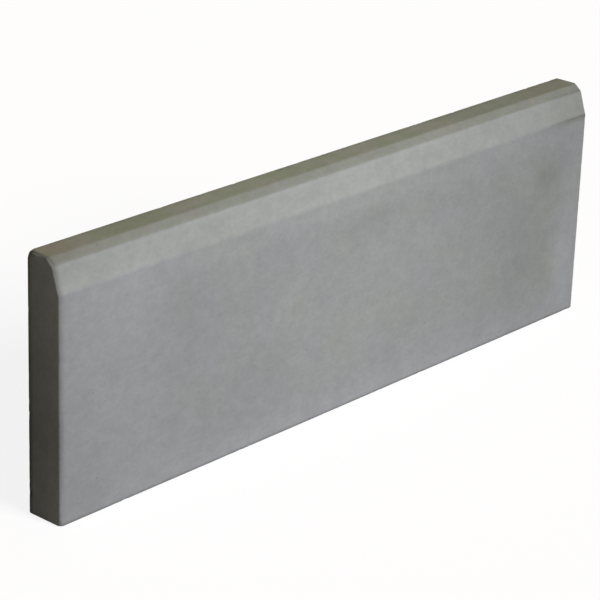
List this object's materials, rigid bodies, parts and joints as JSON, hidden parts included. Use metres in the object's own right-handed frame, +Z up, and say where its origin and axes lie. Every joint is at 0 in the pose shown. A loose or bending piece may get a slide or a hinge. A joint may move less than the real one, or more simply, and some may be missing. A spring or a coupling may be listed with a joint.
{
  "type": "precast concrete edging kerb",
  "caption": "Upright precast concrete edging kerb with a flat top, a double splay along the top front edge and softly rounded arrises.",
  "frame": {"origin": "middle of the flat foot, on the ground", "axes": "+X along the kerb, -Y out of the show face with its splays, +Y out of the back, +Z up"},
  "size_m": [0.9, 0.05, 0.3],
  "materials": {
    "concrete": "matt, off the mould"
  },
  "bodies": {
    "root": {"kerb": "concrete"}
  },
  "joints": []
}
